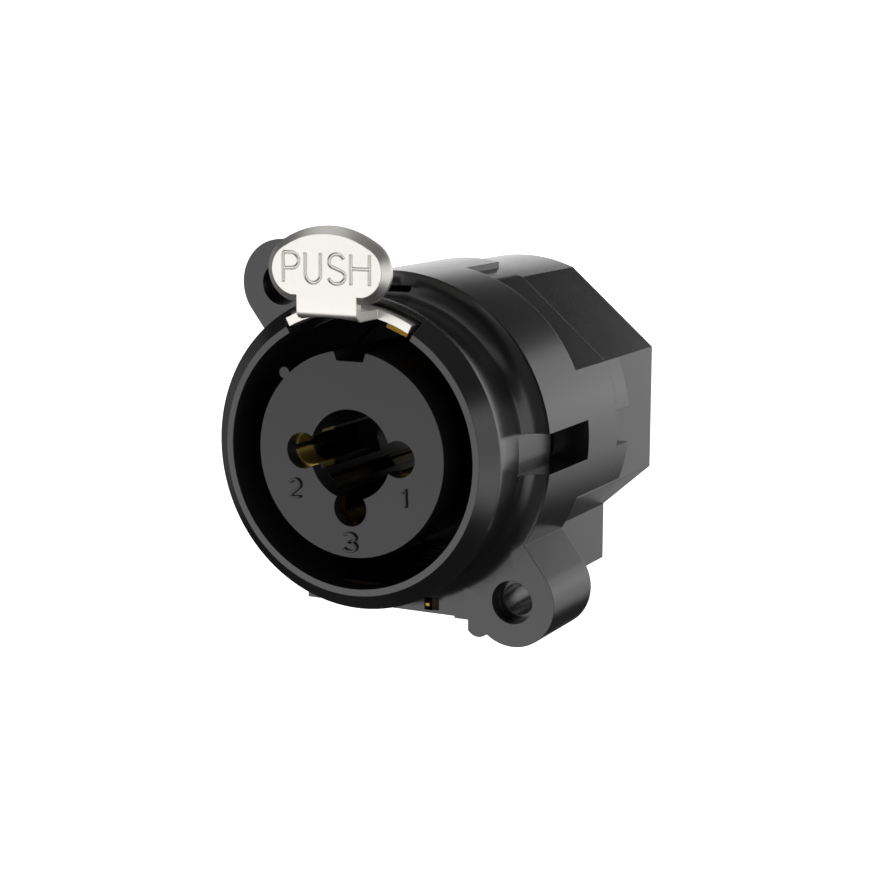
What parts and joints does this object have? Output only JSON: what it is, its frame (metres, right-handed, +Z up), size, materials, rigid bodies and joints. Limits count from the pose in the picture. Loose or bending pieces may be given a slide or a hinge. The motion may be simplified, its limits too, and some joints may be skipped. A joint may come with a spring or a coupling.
{
  "type": "xlr panel socket",
  "caption": "Black panel-mount combination socket: XLR pin holes round a 6.35 mm jack bore, two diagonal screw ears and a push tab latch above the round mouth",
  "frame": {"origin": "on the socket's axis, in the plane of the ears' front faces that rest on the panel", "axes": "+X to the right seen from the front, +Y into the panel, away from the viewer, +Z up, towards the push tab"},
  "size_m": [0.0256, 0.0368, 0.0304],
  "materials": {
    "housing_black": "satin",
    "insert_black": "satin",
    "latch_nickel": "satin",
    "spring_steel": "satin",
    "contact_gold": "polished",
    "spring_bronze": "satin",
    "spring_brass": "satin"
  },
  "bodies": {
    "housing": {"front_housing": "housing_black", "rear_housing": "housing_black", "contact_insert": "insert_black", "jack_carrier": "insert_black", "terminal_wafer": "insert_black", "latch_spring_left": "spring_steel", "latch_spring_right": "spring_steel", "pin_1_contact": "contact_gold", "pin_2_contact": "contact_gold", "pin_3_contact": "contact_gold", "jack_tip_spring": "spring_bronze", "tip_switch_contact": "spring_bronze", "jack_ring_spring": "spring_bronze", "ring_switch_contact": "spring_bronze", "jack_sleeve_spring": "spring_brass", "shell_ground_spring": "spring_bronze", "upper_ground_leaf": "contact_gold", "ground_terminal": "contact_gold", "panel_ground_leaf": "spring_bronze"},
    "latch": {"latch_plate": "latch_nickel"}
  },
  "joints": [
    {"name": "latch_push", "type": "slide", "parent": "housing", "child": "latch", "axis": [0, 1, 0], "range_m": [0, 0.002], "stiffness_N_per_m": 750, "springref_m": -0.002, "deforming": ["latch_spring_left", "latch_spring_right"]}
  ]
}
